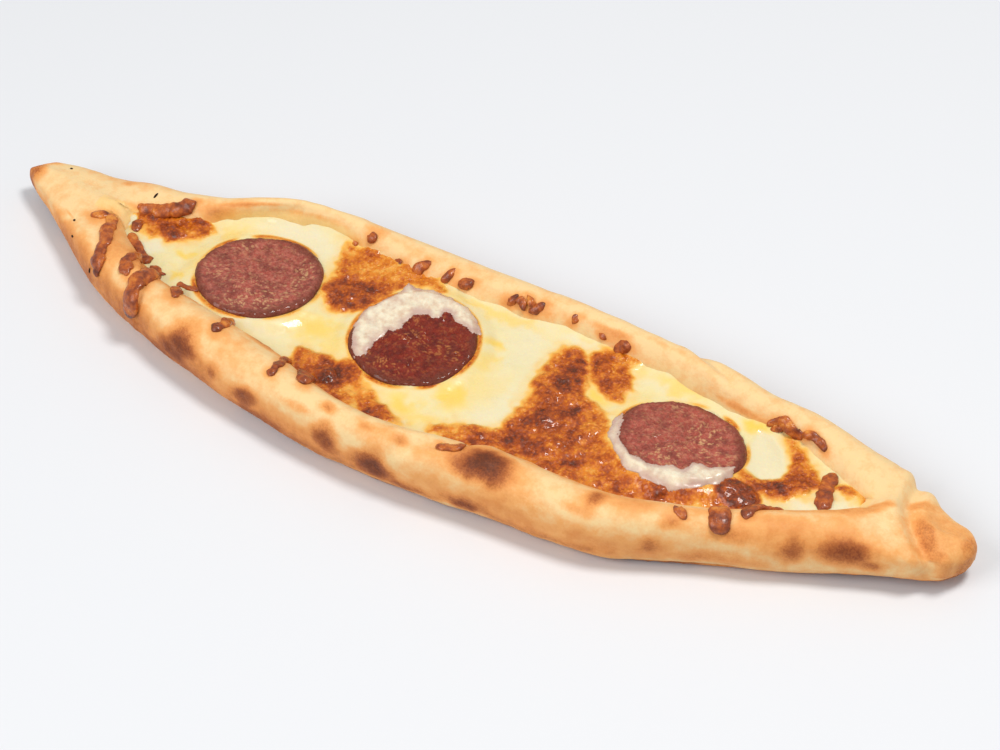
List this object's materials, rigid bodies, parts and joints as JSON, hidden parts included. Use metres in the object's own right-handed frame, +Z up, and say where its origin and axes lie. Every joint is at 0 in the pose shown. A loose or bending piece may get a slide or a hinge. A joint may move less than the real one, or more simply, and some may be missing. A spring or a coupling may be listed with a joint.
{
  "type": "turkish pide",
  "caption": "Boat-shaped flatbread with rolled golden rims and pinched tips, filled with melted browned cheese and round sausage slices.",
  "frame": {"origin": "on the surface the bread lies on, under the middle of its bounding box", "axes": "+X along the boat towards the knobbed tip, +Y across towards the far rim, +Z up"},
  "size_m": [0.3536, 0.0929, 0.0215],
  "materials": {
    "crust": "baked dough, matt with a faint sheen",
    "cheese": "melted and browned cheese, oily",
    "sucuk": "cut face of cured sausage, grainy and slightly oily"
  },
  "bodies": {
    "root": {"crust": "crust", "cheese": "cheese", "sucuk_left": "sucuk", "sucuk_middle": "sucuk", "sucuk_right": "sucuk"}
  },
  "joints": []
}
